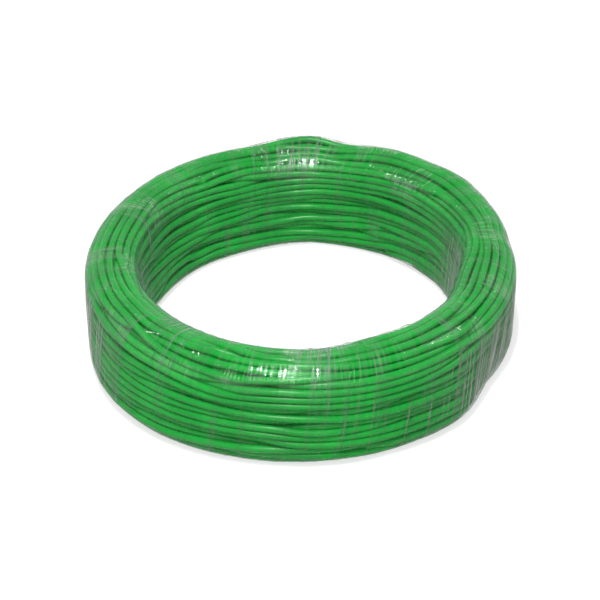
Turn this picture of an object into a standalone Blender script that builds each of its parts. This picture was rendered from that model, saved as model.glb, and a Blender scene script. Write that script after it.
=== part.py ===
# A coil of single-core copper wire with green insulation, wound without a drum
# and wrapped in one strip of clear film that goes round and round the ring.
# Metres, +Z up. The coil stands on its flat underside and its axis is Z.
import math

import bmesh
import bpy
import numpy as np
from mathutils import Vector

# The wire
CONDUCTOR_DIAMETER = 0.0018
INSULATION_WALL = 0.0008

# The coil, measured over its film
BORE_DIAMETER = 0.146
COIL_WALL = 0.0235  # from the bore to the outside
COIL_HEIGHT = 0.051
INNER_BOTTOM_RADIUS = 0.006
OUTER_BOTTOM_RADIUS = 0.010
OUTER_TOP_RADIUS = 0.012
INNER_TOP_RADIUS = 0.008

# The film: one strip all round the ring. The real one laps itself; here each wrap
# is laid against the one before, and covers the turns all over.
FILM_THICKNESS = 0.0003
FILM_EDGE_GAP = 0.0006  # from one wrap to the next
FILM_END_GAP = 0.002  # between the strip's two ends

# The turns that show: a first turn starts behind the coil, just below its outer
# top edge. The winding then passes down the outside, under the coil, up through
# the bore and over the top, and ends on the outer top edge, at the left in front.
SHOWN_TURNS = 22
LEAST_TURN_GAP = 0.0005
START_ANGLE = 90.0  # degrees round the coil from +X
END_ANGLE = 205.0
END_RISE = 22.5  # degrees up the outer top edge's curve

# Where the wire was cut
CUT_BORE_DEPTH = 0.004  # how far in from the cut the conductor is modelled
CUT_STANDS_OUT = 0.0006  # the insulation shrinks back a little from the cut

SEAT_GAP = 0.00035  # between pieces that touch
RING_FACETS = 24  # straight sides round the coil, and wraps of film
WIRE_SIDES = 6
CORNER_STEPS = 2  # straight sides in each rounded edge of the section

WIRE_RADIUS = CONDUCTOR_DIAMETER / 2 + INSULATION_WALL
WIRE_DEPTH = FILM_THICKNESS + SEAT_GAP + WIRE_RADIUS  # below the film's outer face
CORE_DEPTH = WIRE_DEPTH + WIRE_RADIUS + SEAT_GAP
BORE_RADIUS = BORE_DIAMETER / 2
OUTER_RADIUS = BORE_RADIUS + COIL_WALL

INSULATION_GREEN = (0.030, 0.400, 0.050)
COPPER = (0.72, 0.36, 0.20)
FILM_CLEAR = (0.75, 0.85, 0.78)


def clearScene():
    for item in list(bpy.data.objects):
        bpy.data.objects.remove(item, do_unlink=True)


def makeMaterial(name, colour, roughness, metallic=0.0, alpha=1.0):
    material = bpy.data.materials.new(name)
    material.use_nodes = True
    shader = material.node_tree.nodes["Principled BSDF"]
    shader.inputs["Base Color"].default_value = (*colour, 1.0)
    shader.inputs["Roughness"].default_value = roughness
    shader.inputs["Metallic"].default_value = metallic
    shader.inputs["Alpha"].default_value = alpha
    return material


def addPiece(name, points, faces, material):
    mesh = bpy.data.meshes.new(name)
    mesh.from_pydata([tuple(point) for point in points], [], faces)
    skin = bmesh.new()
    skin.from_mesh(mesh)
    bmesh.ops.recalc_face_normals(skin, faces=skin.faces)
    skin.to_mesh(mesh)
    skin.free()
    mesh.materials.append(material)
    piece = bpy.data.objects.new(name, mesh)
    bpy.context.scene.collection.objects.link(piece)
    return piece


# ---- the coil's section: a rectangle with four rounded edges, in (radius, height) ----


def filmSection():
    """The film's outer face, from the underside's inner end outwards, up, over and back."""
    # rounded edges give way to a side so short that none of it would be left at the core
    straight = 2 * CORE_DEPTH * math.tan(math.pi / 8 / CORNER_STEPS) + SEAT_GAP
    wide = COIL_WALL - straight
    high = COIL_HEIGHT - straight
    top = min(1.0, wide / (INNER_TOP_RADIUS + OUTER_TOP_RADIUS))
    bottom = min(1.0, wide / (INNER_BOTTOM_RADIUS + OUTER_BOTTOM_RADIUS))
    outer = min(1.0, high / (OUTER_TOP_RADIUS + OUTER_BOTTOM_RADIUS))
    inner = min(1.0, high / (INNER_TOP_RADIUS + INNER_BOTTOM_RADIUS))
    corners = (
        (OUTER_RADIUS, 0.0, OUTER_BOTTOM_RADIUS * min(bottom, outer), 270),
        (OUTER_RADIUS, COIL_HEIGHT, OUTER_TOP_RADIUS * min(top, outer), 0),
        (BORE_RADIUS, COIL_HEIGHT, INNER_TOP_RADIUS * min(top, inner), 90),
        (BORE_RADIUS, 0.0, INNER_BOTTOM_RADIUS * min(bottom, inner), 180),
    )
    section = []
    for edgeRadius, edgeHeight, rounding, firstAngle in corners:
        centreRadius = edgeRadius + (rounding if edgeRadius == BORE_RADIUS else -rounding)
        centreHeight = edgeHeight + (rounding if edgeHeight == 0.0 else -rounding)
        for step in range(CORNER_STEPS + 1):
            angle = math.radians(firstAngle + 90 * step / CORNER_STEPS)
            toCorner = Vector((math.cos(angle), math.sin(angle))) * rounding
            section.append(Vector((centreRadius, centreHeight)) + toCorner)
    return section[-1:] + section[:-1]


def deepened(section, depth):
    """The same section, with every side moved inwards by one depth."""
    moved = []
    for index, corner in enumerate(section):
        before = (corner - section[index - 1]).normalized()
        after = (section[(index + 1) % len(section)] - corner).normalized()
        inBefore = Vector((-before.y, before.x))
        inAfter = Vector((-after.y, after.x))
        moved.append(corner + (inBefore + inAfter) * depth / (1 + inBefore.dot(inAfter)))
    return moved


def distancesAlong(section):
    """How far round the section each corner lies, and at the end the whole way."""
    distances = [0.0]
    for index, corner in enumerate(section):
        distances.append(distances[-1] + (section[(index + 1) % len(section)] - corner).length)
    return distances


FILM_SECTION = filmSection()
WAY_ROUND = distancesAlong(FILM_SECTION)
# Every layer leans as the film does: it gains one facet in one way round the section.
LEAN = [distance / WAY_ROUND[-1] for distance in WAY_ROUND]


def leanAt(side, share):
    return LEAN[side] + share * (LEAN[side + 1] - LEAN[side])


def ringPoint(section, side, share, facet):
    """A point of a layer: a share of the way along one side of its section, on a facet's edge."""
    here = section[side].lerp(section[(side + 1) % len(section)], share)
    angle = 2 * math.pi * (facet + leanAt(side, share)) / RING_FACETS
    return Vector((here.x * math.cos(angle), here.x * math.sin(angle), here.y))


def placeAlong(section, distance):
    """The side that a distance round the section falls on, and how far along it."""
    corners = distancesAlong(section)
    distance %= corners[-1]
    side = max(number for number in range(len(section)) if corners[number] <= distance)
    return side, (distance - corners[side]) / (corners[side + 1] - corners[side])


def splitQuad(points, corners, standOut):
    """Two triangles, along the diagonal that stands out from the section's middle or keeps in."""
    middle = Vector(((BORE_RADIUS + OUTER_RADIUS) / 2, COIL_HEIGHT / 2))

    def distance(first, second):
        centre = (points[first] + points[second]) / 2
        return (Vector((math.hypot(centre.x, centre.y), centre.z)) - middle).length

    a, b, c, d = corners
    if (distance(a, c) > distance(b, d)) == standOut:
        return [(a, b, c), (a, c, d)]
    return [(a, b, d), (b, c, d)]


# ---- tubes: the wire and its conductor ----


def tubeFrames(route):
    """At each point of a route, two directions square to it that don't twist along it."""
    frames = []
    side = None
    straights = [(there - here).normalized() for here, there in zip(route, route[1:])]
    for here, before, after in zip(route, straights[:1] + straights, straights + straights[-1:]):
        along = (before + after).normalized()
        if side is None:
            side = Vector((here.x, here.y, 0.0))
        side = (side - along * side.dot(along)).normalized()
        frames.append((side, along.cross(side)))
    return frames


def tubeRing(centre, frame, radius):
    ring = []
    for index in range(WIRE_SIDES):
        angle = 2 * math.pi * index / WIRE_SIDES
        ring.append(centre + (frame[0] * math.cos(angle) + frame[1] * math.sin(angle)) * radius)
    return ring


def joinRings(rings):
    """One closed skin over a row of rings, with a flat cap on the first and the last."""
    points = [point for ring in rings for point in ring]
    faces = [tuple(reversed(range(WIRE_SIDES)))]
    for row in range(len(rings) - 1):
        for index in range(WIRE_SIDES):
            following = (index + 1) % WIRE_SIDES
            low, high = row * WIRE_SIDES, (row + 1) * WIRE_SIDES
            faces.append((low + index, low + following, high + following, high + index))
    last = (len(rings) - 1) * WIRE_SIDES
    faces.append(tuple(range(last, last + WIRE_SIDES)))
    return points, faces


# ---- pieces ----


def innerTurns():
    """The turns under the ones that show, as one plain ring."""
    section = deepened(FILM_SECTION, CORE_DEPTH)
    sides = len(section)
    places = [(facet, side) for facet in range(RING_FACETS) for side in range(sides)]
    points = [ringPoint(section, side, 0.0, facet) for facet, side in places]
    faces = []
    for facet in range(RING_FACETS):
        for side in range(sides):
            # past the last side a layer has leant on by one facet
            ahead = (facet + (side + 1) // sides, (side + 1) % sides)
            corners = [(facet, side), ahead, (ahead[0] + 1, ahead[1]), (facet + 1, side)]
            numbers = [(f % RING_FACETS) * sides + s for f, s in corners]
            faces += splitQuad(points, numbers, standOut=False)
    green = makeMaterial("inner_insulation", INSULATION_GREEN, 0.35)
    return addPiece("inner_turns", points, faces, green)


def windingRoute():
    """The wire's centre line over the inner turns, one unbroken way."""
    section = deepened(FILM_SECTION, WIRE_DEPTH)
    corners = distancesAlong(section)
    wayRound = corners[-1]
    spare = 2  # the room of two turns stays free between the winding's end and its start
    turns = min(SHOWN_TURNS, int(wayRound / (2 * WIRE_RADIUS + LEAST_TURN_GAP)) - spare)
    pitch = wayRound / (turns + spare)
    # the end lies on the outer top edge, whose curve starts at this corner
    outerTop = CORNER_STEPS + 2
    rise, share = divmod(END_RISE / 90 * CORNER_STEPS, 1)
    endSide = outerTop + int(rise)
    endDistance = corners[endSide] + share * (corners[endSide + 1] - corners[endSide])
    firstFacet = round(START_ANGLE / 360 * RING_FACETS)
    endFacet = (END_ANGLE / 360 + turns) * RING_FACETS - leanAt(endSide, share) + 1
    lastFacet = math.ceil(endFacet)
    route = []
    for facet in range(firstFacet, lastFacet + 1):
        # each turn lies one pitch further down, under, up and over than the one before
        gone = (wayRound - pitch) * (facet - firstFacet) / (lastFacet - firstFacet)
        distance = endDistance - pitch - gone
        side, share = placeAlong(section, distance)
        # under the coil a layer's lean starts again, one facet on
        route.append(ringPoint(section, side, share, facet - (distance < 0)))
    route[-1] = route[-2].lerp(route[-1], 1 - (lastFacet - endFacet))
    return route


def leastSelfGap(route):
    """The least gap between one stretch of the wire and another, on points along it."""
    between = 12
    ends = np.array([tuple(point) for point in route])
    steps = np.linspace(0, 1, between, endpoint=False)[None, :, None]
    fine = (ends[:-1, None] * (1 - steps) + ends[1:, None] * steps).reshape(-1, 3)
    halfTurn = RING_FACETS * between // 2
    least = 1.0
    for index in range(len(fine) - halfTurn):
        apart = np.linalg.norm(fine[index + halfTurn :] - fine[index], axis=1)
        least = min(least, apart.min())
    return least - 2 * WIRE_RADIUS


def outerTurns(route):
    """The turns that show, as one unbroken tube with a short bore at each cut end."""
    frames = tubeFrames(route)
    start, end = route[0], route[-1]
    boreRadius = CONDUCTOR_DIAMETER / 2 + SEAT_GAP / math.cos(math.pi / WIRE_SIDES)
    boreStart = start + (route[1] - start).normalized() * CUT_BORE_DEPTH
    boreEnd = end + (route[-2] - end).normalized() * CUT_BORE_DEPTH
    rings = [tubeRing(centre, frames[0], boreRadius) for centre in (boreStart, start)]
    rings += [tubeRing(centre, frame, WIRE_RADIUS) for centre, frame in zip(route, frames)]
    rings += [tubeRing(centre, frames[-1], boreRadius) for centre in (end, boreEnd)]
    points, faces = joinRings(rings)
    green = makeMaterial("outer_insulation", INSULATION_GREEN, 0.30)
    return addPiece("outer_turns", points, faces, green)


def conductorEnd(name, cut, inward, frame):
    """The copper in one cut end of the wire."""
    inner = cut + inward * (CUT_BORE_DEPTH - SEAT_GAP)
    outer = cut - inward * CUT_STANDS_OUT
    points, faces = joinRings([tubeRing(c, frame, CONDUCTOR_DIAMETER / 2) for c in (inner, outer)])
    copper = makeMaterial(name + "_copper", COPPER, 0.30, metallic=1.0)
    return addPiece(name, points, faces, copper)


def filmWrap():
    """One strip round and round the section, each wrap one facet further on than the last."""
    outside = FILM_SECTION
    inside = deepened(FILM_SECTION, FILM_THICKNESS)
    sides = len(outside)
    stations = [(wrap, side, 0.0) for wrap in range(RING_FACETS) for side in range(sides)]
    lastSide = (outside[0] - outside[-1]).length
    stations.append((RING_FACETS - 1, sides - 1, 1 - FILM_END_GAP / lastSide))
    points = []
    for wrap, side, share in stations:
        for section in (outside, inside):
            near = ringPoint(section, side, share, wrap)
            far = ringPoint(section, side, share, wrap + 1)
            drawnIn = (far - near).normalized() * FILM_EDGE_GAP / 2
            points += [near + drawnIn, far - drawnIn]
    outNear, outFar, inNear, inFar = range(4)
    faces = []
    for index in range(len(stations) - 1):
        here, there = 4 * index, 4 * index + 4
        for first, second in ((outNear, outFar), (outFar, inFar), (inFar, inNear), (inNear, outNear)):
            corners = (here + first, here + second, there + second, there + first)
            faces += splitQuad(points, corners, standOut=True)
    last = 4 * (len(stations) - 1)
    faces.append((outNear, inNear, inFar, outFar))
    faces.append((last + outNear, last + outFar, last + inFar, last + inNear))
    clear = makeMaterial("film_clear", FILM_CLEAR, 0.15, alpha=0.35)
    return addPiece("film_wrap", points, faces, clear)


clearScene()
innerTurns()
route = windingRoute()
outerTurns(route)
frames = tubeFrames(route)
conductorEnd("conductor_start", route[0], (route[1] - route[0]).normalized(), frames[0])
conductorEnd("conductor_end", route[-1], (route[-2] - route[-1]).normalized(), frames[-1])
filmWrap()
print(f"least gap between the turns: {leastSelfGap(route) * 1000:.2f} mm")
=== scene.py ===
# A ring-shaped coil of green single-core wire, wound without a drum and wrapped in clear film.
# It lies flat with its axis on Z, and the camera looks from -Y. Metres; angles round the coil
# are in degrees from +X. A place in the coil's section is (radius, height).
import math

import bpy
import numpy as np
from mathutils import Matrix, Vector


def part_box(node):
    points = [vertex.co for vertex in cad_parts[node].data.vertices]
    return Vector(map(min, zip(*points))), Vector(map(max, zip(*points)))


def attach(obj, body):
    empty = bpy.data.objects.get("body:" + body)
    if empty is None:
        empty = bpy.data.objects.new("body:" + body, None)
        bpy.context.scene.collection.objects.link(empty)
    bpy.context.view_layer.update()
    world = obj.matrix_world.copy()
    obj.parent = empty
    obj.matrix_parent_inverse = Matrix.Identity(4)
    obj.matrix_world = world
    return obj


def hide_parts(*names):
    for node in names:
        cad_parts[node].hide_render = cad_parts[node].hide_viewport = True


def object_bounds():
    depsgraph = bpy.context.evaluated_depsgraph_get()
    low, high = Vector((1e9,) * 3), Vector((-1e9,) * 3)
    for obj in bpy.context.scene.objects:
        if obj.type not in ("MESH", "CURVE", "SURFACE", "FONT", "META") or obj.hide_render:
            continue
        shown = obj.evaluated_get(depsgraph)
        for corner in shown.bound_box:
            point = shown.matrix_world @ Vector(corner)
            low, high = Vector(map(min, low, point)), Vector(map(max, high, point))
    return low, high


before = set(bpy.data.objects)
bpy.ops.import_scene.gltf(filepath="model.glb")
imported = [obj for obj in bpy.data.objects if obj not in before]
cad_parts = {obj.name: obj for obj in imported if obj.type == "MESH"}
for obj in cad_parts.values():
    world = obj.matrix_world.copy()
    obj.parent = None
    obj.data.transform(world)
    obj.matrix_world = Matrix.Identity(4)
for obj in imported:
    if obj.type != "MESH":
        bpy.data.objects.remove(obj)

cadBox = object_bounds()


def smoothStep(x):
    x = np.clip(x, 0.0, 1.0)
    return x * x * (3 - 2 * x)


def hump(angle, middle, halfWidth):
    # 1 at its middle and 0 from half a width on, round the circle
    apart = (np.asarray(angle) - middle + 180) % 360 - 180
    return smoothStep(1 - np.abs(apart) / halfWidth)


def addMesh(name, points, faces, material):
    mesh = bpy.data.meshes.new(name)
    mesh.from_pydata(points.tolist(), [], faces)
    mesh.update()
    mesh.materials.append(material)
    mesh.shade_smooth()
    piece = bpy.data.objects.new(name, mesh)
    bpy.context.scene.collection.objects.link(piece)
    return piece


class Socket:
    def __init__(self, shader, socket):
        self.shader, self.socket = shader, socket

    def combine(self, operation, first, second):
        return self.shader.combine(operation, first, second)

    def __add__(self, other):
        return self.combine("ADD", self, other)

    def __radd__(self, other):
        return self.combine("ADD", other, self)

    def __sub__(self, other):
        return self.combine("SUBTRACT", self, other)

    def __rsub__(self, other):
        return self.combine("SUBTRACT", other, self)

    def __mul__(self, other):
        return self.combine("MULTIPLY", self, other)

    def __rmul__(self, other):
        return self.combine("MULTIPLY", other, self)


class Shader:
    def __init__(self, name):
        self.material = bpy.data.materials.new(name)
        self.material.use_nodes = True
        self.nodes = self.material.node_tree.nodes
        self.links = self.material.node_tree.links
        self.main = self.nodes["Principled BSDF"]

    def feed(self, socket, value):
        if isinstance(value, Socket):
            self.links.new(value.socket, socket)
        else:
            socket.default_value = value

    def node(self, kind, settings=None, values=None, output=0):
        made = self.nodes.new("ShaderNode" + kind)
        for name, value in (settings or {}).items():
            if name == "stops":
                elements = made.color_ramp.elements
                while len(elements) < len(value):
                    elements.new(1.0)
                for element, (place, shade) in zip(elements, value):
                    element.position = place
                    element.color = (shade, shade, shade, 1.0)
            else:
                setattr(made, name, value)
        for name, value in (values or {}).items():
            self.feed(made.inputs[name], value)
        return Socket(self, made.outputs[output])

    def combine(self, operation, first, second):
        return self.node("Math", {"operation": operation}, {0: first, 1: second})

    def ramp(self, value, *stops):
        return self.node("ValToRGB", {"stops": stops}, {"Fac": value})

    def noise(self, vector, scale, detail=2.0):
        values = {"Vector": vector, "Scale": scale, "Detail": detail}
        return self.node("TexNoise", {}, values)

    def set(self, **values):
        for name, value in values.items():
            self.feed(self.main.inputs[name.replace("_", " ")], value)


def weigh(shares, *patterns):
    # the first share is everywhere, and each of the others only where its pattern is
    total = shares[0]
    for share, pattern in zip(shares[1:], patterns):
        total = total + share * pattern
    return total


view = {
    "distance": 0.827,
    "elevation": 35.0,
    "lens": 109.6,  # millimetres, as is the sensor
    "sensor": 36.0,
    "nearest": 0.01,  # nothing nearer is drawn
    "centrePixel": (301.5, 289.3),  # where the coil's middle shows
    "imageSize": 600,
}


def addCamera():
    middle = Vector((0, 0, (cadBox[0][2] + cadBox[1][2]) / 2))
    lean = math.radians(view["elevation"])
    towards = Vector((0, math.cos(lean), -math.sin(lean)))
    up = Vector((0, math.sin(lean), math.cos(lean)))
    bpy.ops.object.camera_add(location=middle - towards * view["distance"])
    camera = bpy.context.object
    camera.data.lens = view["lens"]
    camera.data.sensor_width = view["sensor"]
    camera.data.clip_start = view["nearest"]
    # the aim is moved by what the middle is off the frame's own middle
    perPixel = view["distance"] * view["sensor"] / view["lens"] / view["imageSize"]
    aside = (view["centrePixel"][0] - view["imageSize"] / 2) * perPixel
    below = (view["imageSize"] / 2 - view["centrePixel"][1]) * perPixel
    aim = middle - Vector((aside, 0, 0)) - up * below
    camera.rotation_euler = (aim - camera.location).to_track_quat("-Z", "Y").to_euler()
    bpy.context.scene.camera = camera


wire = {
    "diameter": 0.0034,
    "rows": 17,  # layers of wire, one on another
    "squeeze": 0.12,  # how much of a wire a row may lack and still hold one more
    "stations": 72,  # places round the coil where the wires are packed
    "change": (0.50, 0.55),  # where in each turn, and over how much of it, a wire moves over
    "changeSpread": 0.1,  # how much that place differs from turn to turn
    "stray": 0.0018,  # how far the wires wander from their places
    "strayLength": 7,  # stations
    "sides": 9,
    "shows": 0.66,  # how far out in the section, as a share, a wire gets finer rings
    "leastStep": 0.2,  # degrees between two rings
    "endInset": 0.0015,  # from the middle of a conductor's piece to the end of the insulation
    "seed": 5,
}

# how the wires are packed, and what share of each move one pass makes
packing = {
    "rounds": 170,
    "home": 0.03,  # back to their places
    "straighten": 0.5,  # to the middle between the same wire's two neighbouring stations
    "apart": 0.35,  # off one another
    "offGaps": 0.5,
    "settleFrom": 0.75,  # after this share of the rounds they no longer move back
    "settlingStraighten": 0.25,
}

coil = {
    "bore": 0.073,
    "outside": 0.0965,
    "height": 0.051,
    "filmRoom": 0.0005,  # left for the film all round
    # inner bottom, outer bottom, outer top, inner top
    "edges": (0.006, 0.010, 0.012, 0.008),
}

# how the coil departs from an even ring: shifts of its section's four edges, outwards and up,
# each as (angle, half width, out, up) in degrees and metres
edgeShifts = {
    "outerTop": [(88, 12, 0.0020, 0.0030), (70, 40, 0.0022, 0.0004), (40, 24, 0.0044, 0.0012),
                 (105, 30, 0.0012, 0.0006), (61, 14, 0.0024, 0.0010), (195, 40, 0.0008, 0.0),
                 (130, 20, 0.0008, 0.0), (18, 13, 0.0014, 0.0), (7, 8, -0.0014, 0.0),
                 (97, 8, 0.0010, 0.0008)],
    "outerBottom": [(216, 36, 0.0042, 0.0), (332, 18, -0.0038, 0.0), (244, 34, 0.0022, 0.0),
                    (313, 14, 0.0012, 0.0), (282, 30, 0.0006, 0.0)],
    "innerTop": [(105, 60, 0.0004, -0.0034), (310, 30, -0.0024, 0.0), (345, 22, -0.0034, 0.0),
                 (290, 20, -0.0026, 0.0006), (165, 24, -0.0012, 0.0)],
    "innerBottom": [(65, 55, -0.0014, 0.0), (5, 26, -0.0036, 0.0), (155, 36, -0.0050, 0.0),
                    (196, 12, 0.0026, 0.0), (118, 34, -0.0042, 0.0)],
}

# where the wires stand apart: how wide, and the way there as (angle, direction from the
# section's middle, with 0 outwards and 90 up)
wireGaps = [
    (0.0017, [(206, 71), (225, 66), (262, 68)]),
    (0.0015, [(221, 52), (241, 61)]),
    (0.0011, [(211, 16), (231, 11)]),
    (0.0014, [(236, -1), (262, -12)]),
    (0.0025, [(224, -45), (240, -48), (264, -43)]),
    (0.0011, [(266, 61), (284, 65)]),
    (0.0013, [(270, 52), (286, 55)]),
    (0.0019, [(270, -6), (283, -13)]),
    (0.0015, [(290, 15), (304, 9), (318, 12)]),
    (0.0027, [(287, -33), (296, -28), (315, -33)]),
    (0.0017, [(300, 71), (314, 72)]),
    (0.0015, [(266, -42), (284, -35), (302, -34)]),
    (0.0028, [(52, 96), (72, 109), (77, 104), (82, 88), (88, 77), (96, 95), (108, 106)]),
    (0.0021, [(110, 152), (140, 161)]),
    (0.0024, [(78, 180), (104, 176), (130, 174)]),
    (0.0021, [(40, 168), (66, 162), (92, 158)]),
    (0.0023, [(52, 207), (84, 204), (112, 200)]),
    (0.0018, [(128, 192), (150, 186), (166, 190)]),
    (0.0025, [(78, 230), (107, 230), (142, 225)]),
    (0.0015, [(46, 138), (104, 135)]),
    (0.0030, [(322, 12), (345, 4), (370, 12)]),
    (0.0024, [(186, 14), (214, -4)]),
]
moreGaps = {"count": 26, "length": (14, 50), "drift": 9, "size": (0.0009, 0.0021), "seed": 23}
# in degrees: how far a gap reaches beyond the ends of its path, and over how much it grows there
gapTaper = (2, 8)

wireRadius = wire["diameter"] / 2
wallRoom = coil["filmRoom"] + wireRadius
sectionMiddle = np.array([(coil["bore"] + coil["outside"]) / 2, coil["height"] / 2])


def cornerCentres():
    # each rounded edge: its centre, the radius left for wire centres, and its two outward signs
    signs = ((-1, -1), (1, -1), (1, 1), (-1, 1))
    for edge, (across, up) in zip(coil["edges"], signs):
        wall = coil["outside"] if across > 0 else coil["bore"]
        base = coil["height"] if up > 0 else 0.0
        yield wall - across * edge, base - up * edge, edge - wallRoom, across, up


def wireRoom(height):
    # how far in and out a wire's centre may lie at a height
    inner, outer = coil["bore"] + wallRoom, coil["outside"] - wallRoom
    for radius, middle, left, across, up in cornerCentres():
        if (height - middle) * up > 0:
            reach = math.sqrt(max(left ** 2 - (height - middle) ** 2, 0))
            if across < 0:
                inner = max(inner, radius - reach)
            else:
                outer = min(outer, radius + reach)
    return inner, outer


def sectionEdge(facing):
    # the place on the section's outline that lies in a direction from its middle
    outline = []
    for radius, height, left, across, up in cornerCentres():
        edge = left + wireRadius + coil["filmRoom"]
        middle = math.degrees(math.atan2(up, across))
        turn = np.radians(middle + np.arange(-45, 46, 9))
        outline.append(np.stack([radius + edge * np.cos(turn), height + edge * np.sin(turn)], 1))
    outline = np.concatenate(outline)
    outline = np.concatenate([outline, outline[:1]]) - sectionMiddle
    ray = np.array([math.cos(math.radians(facing)), math.sin(math.radians(facing))])
    side = outline @ (-ray[1], ray[0])
    ahead = outline @ ray
    reach = 0.0
    for here in range(len(outline) - 1):
        if side[here] * side[here + 1] <= 0 and side[here] != side[here + 1]:
            share = side[here] / (side[here] - side[here + 1])
            reach = max(reach, ahead[here] + share * (ahead[here + 1] - ahead[here]))
    return sectionMiddle + ray * reach


def gapsAtStations():
    # at each station, the middles and the sizes of the gaps that pass it
    dice = np.random.default_rng(moreGaps["seed"])
    gaps = list(wireGaps)
    for _ in range(moreGaps["count"]):
        start, facing = dice.uniform(0, 360, 2)
        length, drift = dice.uniform(*moreGaps["length"]), dice.normal(0, moreGaps["drift"])
        path = [(start, facing), (start + length, facing + drift)]
        gaps.append((dice.uniform(*moreGaps["size"]), path))
    found = [[] for _ in range(wire["stations"])]
    step = 360 / wire["stations"]
    before, over = gapTaper
    for size, path in gaps:
        angles, facings = zip(*path)
        for number in range(math.ceil(angles[0] / step), int(angles[-1] / step) + 1):
            angle = number * step
            nearEnd = min(angle - angles[0], angles[-1] - angle)
            grown = size * smoothStep((nearEnd + before) / over)
            place = sectionEdge(np.interp(angle, angles, facings))
            found[number % wire["stations"]].append((*place, grown))
    most = max(len(row) for row in found)
    noGap = (1.0, 1.0, 0.0)
    return np.array([row + [noGap] * (most - len(row)) for row in found])


def wirePlaces(firstHeight, lastHeight):
    # the order in which the wire fills its section: down the outer wall, the two lowest rows
    # together, then row by row upwards, and at last down the outer top edge
    heights = np.linspace(wallRoom, coil["height"] - wallRoom, wire["rows"])
    rows = []
    for number, height in enumerate(heights):
        inner, outer = wireRoom(height)
        count = int((outer - inner) / wire["diameter"] + wire["squeeze"]) + 1
        reach = (count - 1) * wire["diameter"]
        start = inner if number % 2 else outer - reach
        rows.append([(start + step * wire["diameter"], height) for step in range(count)])
    firstRow = int(np.abs(heights - firstHeight).argmin())
    lastRow = int(np.abs(heights - lastHeight).argmin())
    wall = [rows[number].pop() for number in range(firstRow, 1, -1)]
    edge = [rows[number].pop() for number in range(wire["rows"] - 2, lastRow - 1, -1)]
    places = wall + sorted(rows[0] + rows[1], reverse=True)
    for number, row in enumerate(rows[2:]):
        places += row[::-1] if number % 2 else row
    return np.array(places + edge)


def wantedPlaces(order, turns, places):
    # where the wire would lie by itself: it moves over once in each turn, and wanders a little
    dice = np.random.default_rng(wire["seed"])
    whole, share = np.divmod(order / wire["stations"], 1)
    whole = whole.astype(int)
    middle, width = wire["change"]
    middle = middle + dice.normal(0, wire["changeSpread"], turns + 2)[whole]
    at = np.clip(whole + smoothStep((share - middle) / width + 0.5), 0, turns)
    low = np.minimum(at.astype(int), turns - 1)
    wanted = places[low] + (places[low + 1] - places[low]) * (at - low)[:, None]
    reach = np.arange(-4 * wire["strayLength"], 4 * wire["strayLength"] + 1)
    bell = np.exp(-0.5 * (reach / wire["strayLength"]) ** 2)
    bell /= np.sqrt((bell ** 2).sum())
    stray = dice.normal(size=(len(order), 2)) * wire["stray"]
    return wanted + np.stack([np.convolve(stray[:, axis], bell, "same") for axis in (0, 1)], 1)


def pushApart(lay, grid, there):
    # the grid has each station's wires in a row, and where one is missing, it stands far away
    layers = np.arange(grid.shape[1])
    far = 1.0 + layers[:, None] * np.array([1.0, 0.0])
    here = np.where(there[..., None], lay[grid], far).astype(np.float32)
    apart = here[:, :, None] - here[:, None]
    distance = np.sqrt((apart ** 2).sum(-1)) + 1e-9
    push = np.clip(wire["diameter"] - distance, 0, None) / distance
    push[:, layers, layers] = 0
    push = (apart * push[..., None]).sum(2) * packing["apart"]
    lay[grid[there]] += push[there]


def pushOffGaps(lay, gaps):
    for gap in range(gaps.shape[1]):
        apart = lay - gaps[:, gap, :2]
        distance = np.linalg.norm(apart, axis=1)
        push = np.clip(gaps[:, gap, 2] + wireRadius - distance, 0, None)
        push[gaps[:, gap, 2] == 0] = 0
        lay += apart / distance[:, None] * push[:, None] * packing["offGaps"]


def keepInside(lay, corners):
    for radius, height, left, across, up in corners:
        offset = lay - (radius, height)
        size = np.linalg.norm(offset, axis=1)
        out = (offset[:, 0] * across > 0) & (offset[:, 1] * up > 0) & (size > left)
        lay[out] = np.array((radius, height)) + offset[out] / size[out, None] * left
    lay[:, 0] = np.clip(lay[:, 0], coil["bore"] + wallRoom, coil["outside"] - wallRoom)
    lay[:, 1] = np.clip(lay[:, 1], wallRoom, coil["height"] - wallRoom)


def layWire(firstAngle, lastAngle, firstPlace, lastPlace):
    # packs the turns at every station: each wire keeps off the others, stays in the section,
    # bends little, and wanders a little from its place
    stations = wire["stations"]
    places = wirePlaces(firstPlace[1], lastPlace[1])
    turns = len(places) - 1
    first = math.ceil(firstAngle / 360 * stations)
    last = math.floor(lastAngle / 360 * stations)
    order = np.arange(turns * stations + last - first + 1)
    station = (first + order) % stations
    passing = (first + order) // stations
    grid = np.zeros((stations, passing.max() + 1), int)
    there = np.zeros(grid.shape, bool)
    grid[station, passing] = order
    there[station, passing] = True

    wanted = wantedPlaces(order, turns, places)
    wanted[0], wanted[-1] = firstPlace, lastPlace
    corners = list(cornerCentres())
    gaps = gapsAtStations()[station]
    lay = wanted.copy()
    for number in range(packing["rounds"]):
        settling = number > packing["settleFrom"] * packing["rounds"]
        if not settling:
            lay += (wanted - lay) * packing["home"]
        straighten = packing["settlingStraighten"] if settling else packing["straighten"]
        for _ in range(1 if settling else 2):
            between = (lay[:-2] + lay[2:]) / 2
            lay[1:-1] += (between - lay[1:-1]) * straighten
        for _ in range(2):
            pushApart(lay, grid, there)
        pushOffGaps(lay, gaps)
        keepInside(lay, corners)
        lay[0], lay[-1] = firstPlace, lastPlace
    angles = (first + order) * 360 / stations
    return angles, lay


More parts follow.
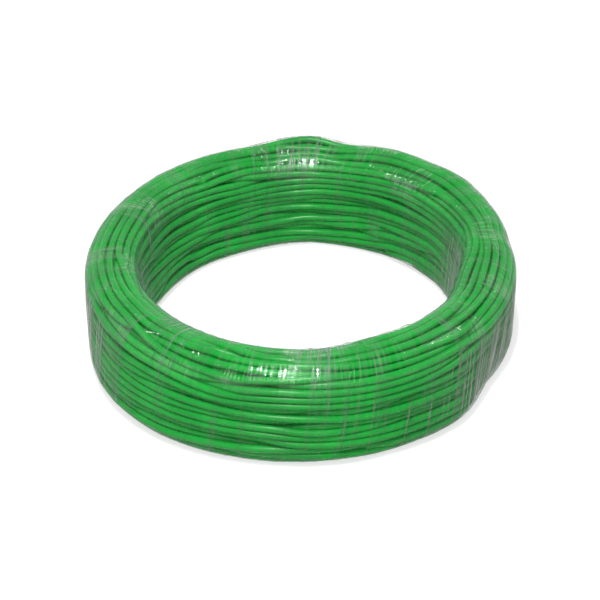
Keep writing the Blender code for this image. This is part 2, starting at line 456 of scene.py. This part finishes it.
def settle(angle, lay):
    # the coil's own unevenness
    outer = smoothStep((lay[:, 0] - coil["bore"]) / (coil["outside"] - coil["bore"]))
    top = smoothStep(lay[:, 1] / coil["height"])
    moved = lay.copy()
    shares = {"outerTop": outer * top, "outerBottom": outer * (1 - top),
              "innerTop": (1 - outer) * top, "innerBottom": (1 - outer) * (1 - top)}
    for edge, places in edgeShifts.items():
        for middle, halfWidth, out, up in places:
            share = shares[edge] * hump(angle, middle, halfWidth)
            moved += share[:, None] * (out, up)
    return moved


def alongWire(angles, lay, wanted):
    # a smooth curve through the stations, read at other angles
    step = angles[1] - angles[0]
    at = np.clip((wanted - angles[0]) / step, 0, len(lay) - 1)
    low = np.clip(at.astype(int), 0, len(lay) - 2)
    share = (at - low)[:, None]
    before, here = lay[np.maximum(low - 1, 0)], lay[low]
    there, after = lay[low + 1], lay[np.minimum(low + 2, len(lay) - 1)]
    return 0.5 * (2 * here + (there - before) * share
                  + (2 * before - 5 * here + 4 * there - after) * share ** 2
                  + (3 * here - before - 3 * there + after) * share ** 3)


def toSpace(angle, lay):
    turn = np.radians(angle)
    return np.stack([lay[:, 0] * np.cos(turn), lay[:, 0] * np.sin(turn), lay[:, 1]], 1)


def endOf(node, forwards):
    # a conductor's cut end in the CAD, as an angle and a place in the section
    low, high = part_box(node)
    middle = (low + high) / 2
    radius = math.hypot(middle.x, middle.y)
    turn = math.atan2(middle.y, middle.x) + forwards * wire["endInset"] / radius
    return math.degrees(turn) % 360, np.array([radius, middle.z])


insulation = {
    "deep": (0.008, 0.285, 0.034, 1.0),
    "light": (0.012, 0.355, 0.042, 1.0),
    "mottle": 60.0,  # scale of the noise, in each metre
    "mottleStops": ((0.35, 0.0), (0.65, 1.0)),
    "scuffs": 900.0,
    "roughness": (0.20, 0.12),  # everywhere, and in the scuffs
    "gloss": 0.2,
    "uneven": (0.6, 0.4),  # how much of the relief is mottle and how much is scuffs
    "reliefStrength": 0.12,
    "reliefHeight": 0.0001,
}


def insulationMaterial():
    shader = Shader("greenInsulation")
    place = shader.node("TexCoord", output=3)
    mottle = shader.noise(place, insulation["mottle"], 3.0)
    scuffs = shader.noise(place, insulation["scuffs"], 2.0)
    colour = shader.node("Mix", {"data_type": "RGBA"}, {
        "Factor": shader.ramp(mottle, *insulation["mottleStops"]),
        6: insulation["deep"],
        7: insulation["light"],
    }, output=2)
    ofMottle, ofScuffs = insulation["uneven"]
    normal = shader.node("Bump", {}, {
        "Strength": insulation["reliefStrength"], "Distance": insulation["reliefHeight"],
        "Height": scuffs * ofScuffs + mottle * ofMottle})
    shader.set(Base_Color=colour, Roughness=weigh(insulation["roughness"], scuffs), Normal=normal,
               Specular_IOR_Level=insulation["gloss"])
    return shader.material


def wireTube(angles, lay, firstAngle, lastAngle):
    # fine rings where the wire shows, coarser ones inside the coil
    out = np.maximum(
        np.abs(lay[:, 0] - sectionMiddle[0]) / (coil["outside"] - sectionMiddle[0]),
        np.abs(lay[:, 1] - sectionMiddle[1]) / sectionMiddle[1])
    shows = out > wire["shows"]
    wanted = [np.array([firstAngle])]
    for index in range(len(angles) - 1):
        parts = 2 if shows[index] or shows[index + 1] else 1
        wanted.append(angles[index] + np.arange(parts) / parts * (angles[1] - angles[0]))
    wanted = np.concatenate(wanted + [angles[-1:], np.array([lastAngle])])
    wanted = wanted[np.append(True, np.diff(wanted) > wire["leastStep"])]
    centres = toSpace(wanted, settle(wanted, alongWire(angles, lay, wanted)))
    ahead = np.gradient(centres, axis=0)
    ahead /= np.linalg.norm(ahead, axis=1)[:, None]
    side = centres * (1, 1, 0)
    side -= ahead * (side * ahead).sum(1)[:, None]
    side /= np.linalg.norm(side, axis=1)[:, None]
    above = np.cross(ahead, side)
    sides = wire["sides"]
    spread = np.linspace(0, 2 * math.pi, sides, endpoint=False)
    rings = (centres[:, None] + (side[:, None] * np.cos(spread)[:, None]
             + above[:, None] * np.sin(spread)[:, None]) * wireRadius)
    corner = np.arange(sides)
    start = np.arange(len(centres) - 1)[:, None] * sides
    here, right = start + corner, start + (corner + 1) % sides
    quads = np.stack([right, right + sides, here + sides, here], -1)
    faces = quads.reshape(-1, 4).tolist()
    faces.append(corner.tolist())
    faces.append(((len(centres) - 1) * sides + corner[::-1]).tolist())
    return addMesh("wire_turns", rings.reshape(-1, 3), faces, insulationMaterial())


film = {
    "width": 0.020,
    "wrapsRound": 44,  # that many take it once round the coil
    "wraps": 44.2,  # so its end laps its start
    "startAngle": 128,
    "across": 18,  # faces across the strip
    "along": 124,  # faces along it, in one wrap
    "offWires": 0.00005,
    "offFloor": 0.00003,
    "lap": 0.00006,  # what a layer beneath lifts it by
    "angleSteps": 144,  # round the coil, where it is draped
    "rayStep": 2,  # degrees between the directions in which the wires' reach is taken
    "leastSlant": 0.2,
    "crease": 0.00022,
    "creaseSteps": 480,  # round the coil
    "creaseSize": (1.0, 9.0),  # steps round the coil, and steps along a wrap
    "creaseMost": 3,  # standard deviations
    "creaseOutside": 0.35,  # how much of a crease is left on the outer wall
    "creaseFoot": 0.004,  # over this height above the floor they grow to their full size
    "seed": 11,
}


def filmSection():
    # even steps round the coil's section, from the middle of the underside outwards, with the
    # direction that faces out at each
    corners = list(cornerCentres())
    points = []
    for number, firstAngle in ((1, 270), (2, 0), (3, 90), (0, 180)):
        radius, height, left = corners[number][:3]
        turn = np.radians(firstAngle + np.arange(0, 91, 3))
        edge = left + wireRadius
        points.append(np.stack([radius + edge * np.cos(turn), height + edge * np.sin(turn)], 1))
    points = np.concatenate(points)
    middle = (points[0] + points[-1]) / 2
    points = np.concatenate([[middle], points, [middle]])
    way = np.append(0, np.cumsum(np.linalg.norm(np.diff(points, axis=0), axis=1)))
    wanted = np.arange(film["along"]) / film["along"] * way[-1]
    section = np.stack([np.interp(wanted, way, points[:, axis]) for axis in (0, 1)], 1)
    along = np.roll(section, -1, 0) - np.roll(section, 1, 0)
    outward = np.stack([along[:, 1], -along[:, 0]], 1)
    return section, outward / np.linalg.norm(outward, axis=1)[:, None], way[-1]


def smoothRound(values, reach, axis):
    # blurs values that go round, by a bell of that many steps
    steps = np.arange(-3 * math.ceil(reach), 3 * math.ceil(reach) + 1)
    bell = np.exp(-0.5 * (steps / reach) ** 2)
    return sum(share * np.roll(values, step, axis) for share, step in zip(bell / bell.sum(), steps))


def drapeFilm(angles, lay, section):
    # how far the stretched film lies from the section's middle, at each angle round the coil and
    # each step of the section: it spans the gaps between the wires that stand out furthest
    step = 360 / film["angleSteps"]
    wanted = np.arange(math.ceil(angles[0] / step), int(angles[-1] / step) + 1) * step
    places = settle(wanted, alongWire(angles, lay, wanted)) - sectionMiddle
    station = np.round(wanted / step).astype(int) % film["angleSteps"]
    facing = np.radians(np.arange(0, 360, film["rayStep"]))
    directions = np.stack([np.cos(facing), np.sin(facing)])
    reach = np.array([(places[station == number] @ directions).max(0) + wireRadius
                      for number in range(film["angleSteps"])])
    reach = np.maximum(reach, np.maximum(np.roll(reach, 1, 0), np.roll(reach, -1, 0)))
    reach = smoothRound(reach, 1.0, 0)
    towards = section - sectionMiddle
    towards = np.arctan2(towards[:, 1], towards[:, 0])
    slant = np.cos(facing[:, None] - towards)
    least = film["leastSlant"]
    return np.where(slant > least, reach[:, :, None] / np.maximum(slant, least), 1.0).min(1)


def filmCreases(section, outward):
    # how far the creases lift the film, most in the bore and hardly at all next to the floor
    dice = np.random.default_rng(film["seed"])
    creases = dice.normal(size=(film["creaseSteps"], film["along"]))
    roundCoil, alongWrap = film["creaseSize"]
    creases = smoothRound(smoothRound(creases, roundCoil, 0), alongWrap, 1)
    creases = np.clip(creases / creases.std(), 0, film["creaseMost"]) * film["crease"]
    inward = smoothStep(0.5 - outward[:, 0])
    share = film["creaseOutside"] + (1 - film["creaseOutside"]) * inward
    return creases * (share * smoothStep(section[:, 1] / film["creaseFoot"]))


def readRound(table, angle, column):
    # a table with one row for each step round the coil, read between its rows
    at = angle / 360 * len(table)
    low = np.floor(at).astype(int)
    share = at - low
    return (table[low % len(table), column] * (1 - share)
            + table[(low + 1) % len(table), column] * share)


filmLook = {
    "mirror": (0.90, 0.92, 0.90, 1.0),  # what the clear film reflects
    "veil": (0.07, 0.25, 0.13, 1.0),  # folded film, lit by the wires beneath it
    "haze": (0.30, 0.36, 0.30, 1.0),  # scratches, edges and stretched film, and the painted sheen at the coil's two sides
    # how much of the light the clear film stops
    "clear": 0.003,  # on the walls
    "top": 0.016,  # more on top, where it is pulled into pleats
    "bunched": 0.05,  # and more where it is bunched there
    # how much the haze stops
    "streaks": 0.34,
    "folds": 0.16,
    "edges": 0.20,
    "sides": 1.1,  # painted sheen at the coil's two sides, below the top, where the camera sees the film at a low angle; it follows the wrinkles
    "grazing": 1.4,  # where it is seen at a low angle
    "edgeShares": (0.30, 0.70),  # everywhere, and in patches
    "grazingShares": (0.15, 0.7, 0.3),  # everywhere, in streaks and in patches
    "wrinkleShares": (0.1, 0.6, 0.3),  # everywhere, in streaks and in folds
    "wrinklePatches": (0.4, 0.6),  # everywhere, and in patches
    "edgeWidth": 0.0003,
    "roughness": (0.06, 0.4),  # everywhere, and what haze adds
    # scale of the noise, in each metre across the strip and along it
    "pleatScale": (700.0, 12.0, 1.0),
    "streakScale": (850.0, 16.0, 1.0),
    "foldScale": (320.0, 8.0, 1.0),
    "patchScale": 30.0,
    "bunchScale": 40.0,
    "pleatHeight": 0.00024,
    "steeper": 3.0,  # how much the pleats grow where the film is bunched
    # where each pattern starts and where it is full
    "streakStops": ((0.56, 0.0), (0.68, 1.0)),
    "foldStops": ((0.58, 0.0), (0.67, 1.0)),
    "patchStops": ((0.42, 0.20), (0.64, 1.0)),
    "bunchStops": ((0.52, 0.0), (0.60, 1.0)),
    "topStops": ((0.38, 0.0), (0.45, 1.0)),  # 0 to 1 stands for 0 to 0.1 m of height
    # and here for -0.1 to 0.1 m along X, for the painted sheen at the coil's two sides
    "sideSheenStops": ((0.05, 1.0), (0.17, 0.0), (0.71, 0.0), (0.88, 1.0)),
}


def filmMaterial():
    # a weak mirror, with haze where the film is scratched, folded or seen at a low angle, and
    # painted sheen at the coil's two sides
    shader = Shader("clearFilm")
    way = shader.node("UVMap", {"uv_map": "filmWay"})
    waves = {}
    for name, detail in (("pleatScale", 0.0), ("streakScale", 3.0), ("foldScale", 1.0)):
        stretched = shader.node("Mapping", {}, {"Vector": way, "Scale": filmLook[name]})
        waves[name] = shader.noise(stretched, 1.0, detail)
    streaks = shader.ramp(waves["streakScale"], *filmLook["streakStops"])
    folds = shader.ramp(waves["foldScale"], *filmLook["foldStops"])
    across = shader.node("SeparateXYZ", {}, {"Vector": way})
    fromMiddle = shader.combine("ABSOLUTE", across - film["width"] / 2, 0.0)
    edges = shader.combine("GREATER_THAN", fromMiddle, film["width"] / 2 - filmLook["edgeWidth"])

    place = shader.node("TexCoord", output=3)
    aside = shader.node("SeparateXYZ", {}, {"Vector": place})
    height = shader.node("SeparateXYZ", {}, {"Vector": place}, output=2)
    top = shader.ramp(height * 10, *filmLook["topStops"])
    # painted sheen: more pale haze at the coil's left and right below the top, where the camera
    # sees the film at a low angle
    sides = shader.ramp(aside * 5 + 0.5, *filmLook["sideSheenStops"]) * (1 - top)
    patches = shader.ramp(shader.noise(place, filmLook["patchScale"], 2.0), *filmLook["patchStops"])
    bunched = shader.ramp(shader.noise(place, filmLook["bunchScale"], 1.0), *filmLook["bunchStops"])
    bunched = bunched * top
    facing = shader.node("LayerWeight", {}, {"Blend": 0.5}, output=1)
    low = facing * facing * facing * facing

    worn = filmLook["streaks"] * streaks + filmLook["folds"] * folds
    worn = worn + filmLook["edges"] * edges * weigh(filmLook["edgeShares"], patches)
    grazing = filmLook["grazing"] * low * weigh(filmLook["grazingShares"], streaks, patches)
    wrinkled = weigh(filmLook["wrinkleShares"], streaks, folds)
    wrinkled = wrinkled * weigh(filmLook["wrinklePatches"], patches)
    # the last term is the painted sheen at the coil's two sides
    haze = worn * patches + grazing + filmLook["sides"] * sides * wrinkled
    clear = filmLook["clear"] + filmLook["top"] * top + filmLook["bunched"] * bunched
    alpha = shader.combine("MINIMUM", haze + clear, 1.0)
    mirror = shader.combine("DIVIDE", clear, haze + clear)

    # the pale haze colour goes to the streaks, the edges and the painted sheen at the sides
    pale = shader.combine("MAXIMUM", shader.combine("MAXIMUM", streaks, edges), sides)
    hazeColour = shader.node("Mix", {"data_type": "RGBA"}, {
        "Factor": pale, 6: filmLook["veil"], 7: filmLook["haze"]}, output=2)
    colour = shader.node("Mix", {"data_type": "RGBA"}, {
        "Factor": mirror, 6: hazeColour, 7: filmLook["mirror"]}, output=2)
    pleats = waves["pleatScale"] * (1 + filmLook["steeper"] * bunched)
    bump = shader.node("Bump", {}, {"Strength": 1.0, "Distance": filmLook["pleatHeight"],
                                    "Height": pleats})
    shader.set(Base_Color=colour, Metallic=mirror, Normal=bump, Alpha=alpha,
               Roughness=weigh(filmLook["roughness"], 1 - mirror))
    return shader.material


def filmPoints(angles, lay):
    # rows of points across the strip, how far across and along it each one lies, and its length
    section, outward, wayRound = filmSection()
    draped = drapeFilm(angles, lay, section)
    creases = filmCreases(section, outward)
    towards = section - sectionMiddle
    towards /= np.linalg.norm(towards, axis=1)[:, None]

    rows = int(film["wraps"] * film["along"]) + 1
    wrap = np.arange(rows)[:, None] / film["along"]
    step = np.arange(rows) % film["along"]
    place, face, ray = section[step], outward[step], towards[step]
    across = np.linspace(0, film["width"], film["across"] + 1)[None]
    turned = film["startAngle"] + wrap * 360 / film["wrapsRound"]
    angle = turned + np.degrees((across - film["width"] / 2) / place[:, :1])
    column = np.broadcast_to(step[:, None], angle.shape)
    # how many layers lie beneath, and more of them where the end laps the start
    layers = film["width"] * film["wrapsRound"] / (2 * math.pi * place[:, :1])
    below = np.minimum((1 - across / film["width"]) * layers, wrap)
    below = below + layers * smoothStep((wrap - film["wrapsRound"] + layers) / layers)
    # creases follow the strip, which leans round the coil
    lean = step[:, None] / film["along"] * 360 / film["wrapsRound"]
    off = film["offWires"] + film["lap"] * below + readRound(creases, angle - lean, column)
    out = readRound(draped, angle, column)
    radius = sectionMiddle[0] + out * ray[:, :1] + off * face[:, :1]
    height = sectionMiddle[1] + out * ray[:, 1:] + off * face[:, 1:]
    turn = np.radians(angle)
    points = np.stack([radius * np.cos(turn), radius * np.sin(turn),
                       np.maximum(height, film["offFloor"])], -1)
    way = np.stack(np.broadcast_arrays(across, wrap * wayRound), -1)
    return points, way, film["wraps"] * wayRound


def filmStrip(angles, lay):
    points, way, length = filmPoints(angles, lay)
    rows, count = points.shape[:2]
    first = np.arange(rows - 1)[:, None] * count + np.arange(count - 1)
    faces = np.stack([first, first + 1, first + 1 + count, first + count], -1).reshape(-1, 4)
    piece = addMesh("film_wrap_clear", points.reshape(-1, 3), faces.tolist(), filmMaterial())
    uvs = piece.data.uv_layers.new(name="filmWay")
    corners = np.zeros(len(piece.data.loops), int)
    piece.data.loops.foreach_get("vertex_index", corners)
    uvs.data.foreach_set("uv", way.reshape(-1, 2)[corners].astype(np.float32).ravel())
    return piece, length


copper = {
    "diameter": 0.0018,
    "length": 0.0046,
    "rounded": 0.00015,
    "sides": 24,
    "colour": (0.72, 0.36, 0.2, 1.0),
    "tarnished": (0.42, 0.19, 0.10, 1.0),
    "tarnish": 1500.0,  # scale of the noise, in each metre
    "roughness": (0.2, 0.25),  # everywhere, and what tarnish adds
}


def copperMaterial():
    shader = Shader("cutCopper")
    place = shader.node("TexCoord", output=3)
    tarnish = shader.noise(place, copper["tarnish"], 2.0)
    tone = shader.node("Mix", {"data_type": "RGBA"}, {
        "Factor": tarnish, 6: copper["colour"], 7: copper["tarnished"]}, output=2)
    shader.set(Base_Color=tone, Metallic=1.0, Roughness=weigh(copper["roughness"], tarnish))
    return shader.material


def conductorPiece(name, node, along, material):
    # a round rod where the CAD has the conductor's end, a little rounded where it was cut
    low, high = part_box(node)
    bpy.ops.object.select_all(action="DESELECT")
    bpy.ops.mesh.primitive_cylinder_add(
        vertices=copper["sides"], radius=copper["diameter"] / 2, depth=copper["length"],
        location=(low + high) / 2, rotation=Vector(along).to_track_quat("Z", "Y").to_euler())
    piece = bpy.context.object
    piece.name = name
    bpy.ops.object.transform_apply(location=True, rotation=True, scale=True)
    bevel = piece.modifiers.new("cut", "BEVEL")
    bevel.width = copper["rounded"]
    bevel.segments = 2
    bevel.limit_method = "ANGLE"
    bpy.ops.object.modifier_apply(modifier=bevel.name)
    bpy.ops.object.shade_smooth_by_angle(angle=math.radians(40))
    piece.data.materials.append(material)
    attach(piece, "root")
    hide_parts(node)


floor = {
    "reach": 3.0,
    "wall": 1.2,  # how high the backdrop is
    "sides": 96,
    "colour": 0.42,
    "roughness": 0.9,
    "lift": 0.66,  # what is added near the coil, where the lamps light the floor
    "fullLift": (0.4, 0.9),  # metres from the coil's middle between which that grows to 1
}


def addFloor():
    # a round floor with a low wall round it, so that low views end on white too
    shader = Shader("paleFloor")
    # what the camera, gloss and clear film see of it is lifted to white, and keeps the shadow;
    # far from the lamps it is lifted more
    path = shader.node("LightPath", output=0)
    gloss = shader.node("LightPath", output=3)
    clear = shader.node("LightPath", output=6)
    seen = shader.combine("MAXIMUM", shader.combine("MAXIMUM", path, gloss), clear)
    place = shader.node("TexCoord", output=3)
    near = shader.node("TexGradient", {"gradient_type": "SPHERICAL"}, {"Vector": place}, output=1)
    start, full = floor["fullLift"]
    farOff = shader.ramp(near, (1 - full, 1.0), (1 - start, 0.0))
    lift = seen * (floor["lift"] + (1 - floor["lift"]) * farOff)
    shader.set(Base_Color=(floor["colour"],) * 3 + (1,), Roughness=floor["roughness"],
               Emission_Color=(1, 1, 1, 1), Emission_Strength=lift)
    bpy.ops.object.select_all(action="DESELECT")
    bpy.ops.mesh.primitive_circle_add(vertices=floor["sides"], radius=floor["reach"],
                                      fill_type="NGON")
    plane = bpy.context.object
    plane.name = "floor"
    bpy.ops.mesh.primitive_cylinder_add(vertices=floor["sides"], radius=floor["reach"],
                                        depth=floor["wall"], end_fill_type="NOTHING")
    wall = bpy.context.object
    wall.name = "backdrop"
    wall.location.z = floor["wall"] / 2
    bpy.ops.object.transform_apply(location=True, rotation=True, scale=True)
    for piece in (plane, wall):
        piece.data.materials.append(shader.material)


lamps = {
    # angle round the coil, height in degrees, distance, width, depth, power; the narrow ones
    # make the glints in the film's pleats
    "keyStrip": (264, 66, 1.1, 0.03, 0.28, 9.5),
    "keySoft": (264, 40, 1.1, 0.70, 0.60, 4.8),
    "leftFill": (175, 25, 1.6, 0.90, 0.70, 0.7),
    "rightFill": (5, 25, 1.6, 0.90, 0.70, 0.4),
    "backFill": (85, 12, 1.6, 0.90, 0.40, 1.7),
    "backLeft": (128, 40, 1.1, 0.04, 0.26, 0.4),
    "sideLeft": (172, 50, 1.1, 0.03, 0.26, 1.1),
    "sideRight": (8, 50, 1.1, 0.03, 0.26, 1.4),
    "backRight": (52, 40, 1.1, 0.04, 0.26, 0.4),
}
worldLight = 0.13


def addLights():
    world = bpy.data.worlds.new("studio")
    bpy.context.scene.world = world
    world.use_nodes = True
    background = world.node_tree.nodes["Background"]
    background.inputs["Color"].default_value = (1, 1, 1, 1)
    background.inputs["Strength"].default_value = worldLight
    for name, (turn, rise, distance, width, depth, power) in lamps.items():
        turn, rise = math.radians(turn), math.radians(rise)
        towards = Vector((math.cos(turn) * math.cos(rise), math.sin(turn) * math.cos(rise),
                          math.sin(rise)))
        bpy.ops.object.light_add(type="AREA", location=towards * distance)
        lamp = bpy.context.object
        lamp.name = name
        lamp.data.shape = "RECTANGLE"
        lamp.data.size, lamp.data.size_y = width, depth
        lamp.data.energy = power
        lamp.rotation_euler = (-towards).to_track_quat("-Z", "Y").to_euler()


addCamera()
startAngle, startPlace = endOf("conductor_start", -1)
endAngle, endPlace = endOf("conductor_end", 1)
wireAngles, wireLay = layWire(startAngle, endAngle, startPlace, endPlace)
turnsEnd = wireAngles[-1] - wireAngles[-1] % 360 + endAngle
print("wire laid:", len(wireAngles), "stations,", round((turnsEnd - startAngle) / 360, 1), "turns")
wirePiece = wireTube(wireAngles, wireLay, startAngle, turnsEnd)
centreLine = toSpace(wireAngles, settle(wireAngles, wireLay))[::2]
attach(wirePiece, "root")
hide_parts("outer_turns", "inner_turns")

metal = copperMaterial()
conductorPiece("copper_start", "conductor_start", centreLine[1] - centreLine[0], metal)
conductorPiece("copper_end", "conductor_end", centreLine[-1] - centreLine[-2], metal)
print("copper ends made")

filmPiece, filmLength = filmStrip(wireAngles, wireLay)
print("film:", round(filmLength, 2), "m long,", 2 * len(filmPiece.data.polygons), "triangles")
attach(filmPiece, "root")
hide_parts("film_wrap")

addFloor()
addLights()
print("floor and lamps made")
bpy.context.scene.view_settings.view_transform = "Standard"
